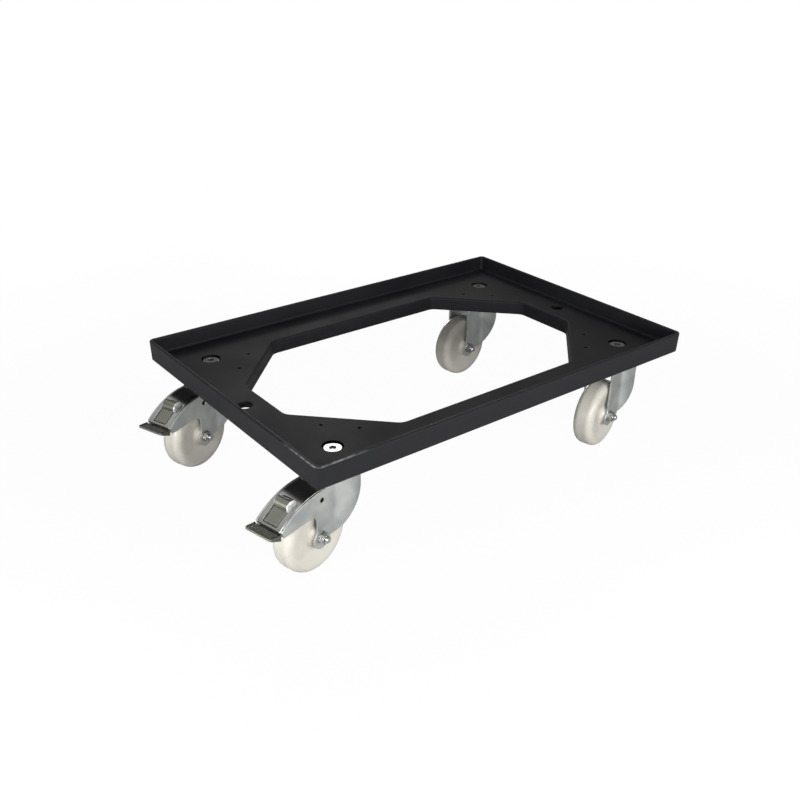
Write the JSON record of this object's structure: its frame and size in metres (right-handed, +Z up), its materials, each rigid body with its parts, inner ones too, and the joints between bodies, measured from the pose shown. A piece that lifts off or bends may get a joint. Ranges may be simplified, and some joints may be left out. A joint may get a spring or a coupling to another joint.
{
  "type": "transport trolley",
  "caption": "Low crate dolly: black moulded tray with an upstanding rim and an eight-sided opening, on swivel casters with white wheels, those at one end with foot brakes.",
  "frame": {"origin": "on the floor, under the middle of the tray", "axes": "+Z up, +X along the tray away from the braked end, +Y to its left"},
  "size_m": [0.6811, 0.4198, 0.166],
  "materials": {
    "tray_plastic": "matte moulded black",
    "wheel_nylon": "satin ivory white nylon",
    "zinc_sheet": "zinc plated pressed sheet",
    "bright_zinc": "bright plated fasteners",
    "bearing_steel": "ground steel",
    "pedal_steel": "dull grey plated sheet"
  },
  "bodies": {
    "tray": {"deck_frame": "tray_plastic", "fixing_bolts": "bright_zinc", "fixing_nuts": "bright_zinc", "swivel_cup_brake_left": "zinc_sheet", "swivel_cup_brake_right": "zinc_sheet", "swivel_cup_plain_left": "zinc_sheet", "swivel_cup_plain_right": "zinc_sheet", "swivel_bearing_brake_left": "bearing_steel", "swivel_bearing_brake_right": "bearing_steel", "swivel_bearing_plain_left": "bearing_steel", "swivel_bearing_plain_right": "bearing_steel", "kingpin_brake_left": "zinc_sheet", "kingpin_brake_right": "zinc_sheet", "kingpin_plain_left": "zinc_sheet", "kingpin_plain_right": "zinc_sheet"},
    "caster_brake_left": {"fork_brake_left": "zinc_sheet", "axle_sleeve_brake_left": "bearing_steel", "axle_bolt_brake_left": "bright_zinc", "axle_nut_brake_left": "bright_zinc", "brake_cover_brake_left": "zinc_sheet", "pedal_pin_brake_left": "bright_zinc"},
    "wheel_brake_left": {"wheel_brake_left": "wheel_nylon"},
    "pedal_brake_left": {"brake_pedal_brake_left": "pedal_steel", "brake_shoe_brake_left": "pedal_steel"},
    "caster_brake_right": {"fork_brake_right": "zinc_sheet", "axle_sleeve_brake_right": "bearing_steel", "axle_bolt_brake_right": "bright_zinc", "axle_nut_brake_right": "bright_zinc", "brake_cover_brake_right": "zinc_sheet", "pedal_pin_brake_right": "bright_zinc"},
    "wheel_brake_right": {"wheel_brake_right": "wheel_nylon"},
    "pedal_brake_right": {"brake_pedal_brake_right": "pedal_steel", "brake_shoe_brake_right": "pedal_steel"},
    "caster_plain_left": {"fork_plain_left": "zinc_sheet", "axle_sleeve_plain_left": "bearing_steel", "axle_bolt_plain_left": "bright_zinc", "axle_nut_plain_left": "bright_zinc"},
    "wheel_plain_left": {"wheel_plain_left": "wheel_nylon"},
    "caster_plain_right": {"fork_plain_right": "zinc_sheet", "axle_sleeve_plain_right": "bearing_steel", "axle_bolt_plain_right": "bright_zinc", "axle_nut_plain_right": "bright_zinc"},
    "wheel_plain_right": {"wheel_plain_right": "wheel_nylon"}
  },
  "joints": [
    {"name": "swivel_brake_left", "type": "hinge", "parent": "tray", "child": "caster_brake_left", "pos_m": [-0.248, 0.148, 0.116], "axis": [0, 0, 1], "continuous": true},
    {"name": "roll_brake_left", "type": "hinge", "parent": "caster_brake_left", "child": "wheel_brake_left", "pos_m": [-0.28851, 0.13358, 0.049], "axis": [0.3355, -0.9421, 0], "continuous": true},
    {"name": "pedal_brake_left", "type": "hinge", "parent": "caster_brake_left", "child": "pedal_brake_left", "pos_m": [-0.32261, 0.12143, 0.10078], "axis": [-0.3355, 0.9421, 0], "range_deg": [0, 10]},
    {"name": "swivel_brake_right", "type": "hinge", "parent": "tray", "child": "caster_brake_right", "pos_m": [-0.248, -0.148, 0.116], "axis": [0, 0, 1], "continuous": true},
    {"name": "roll_brake_right", "type": "hinge", "parent": "caster_brake_right", "child": "wheel_brake_right", "pos_m": [-0.28986, -0.15782, 0.049], "axis": [0.2284, -0.9736, 0], "continuous": true},
    {"name": "pedal_brake_right", "type": "hinge", "parent": "caster_brake_right", "child": "pedal_brake_right", "pos_m": [-0.32511, -0.16609, 0.10078], "axis": [-0.2284, 0.9736, 0], "range_deg": [0, 10]},
    {"name": "swivel_plain_left", "type": "hinge", "parent": "tray", "child": "caster_plain_left", "pos_m": [0.248, 0.148, 0.116], "axis": [0, 0, 1], "continuous": true},
    {"name": "roll_plain_left", "type": "hinge", "parent": "caster_plain_left", "child": "wheel_plain_left", "pos_m": [0.20537, 0.14239, 0.049], "axis": [0.1305, -0.9914, 0], "continuous": true},
    {"name": "swivel_plain_right", "type": "hinge", "parent": "tray", "child": "caster_plain_right", "pos_m": [0.248, -0.148, 0.116], "axis": [0, 0, 1], "continuous": true},
    {"name": "roll_plain_right", "type": "hinge", "parent": "caster_plain_right", "child": "wheel_plain_right", "pos_m": [0.20637, -0.15877, 0.049], "axis": [0.2504, -0.9681, 0], "continuous": true}
  ]
}
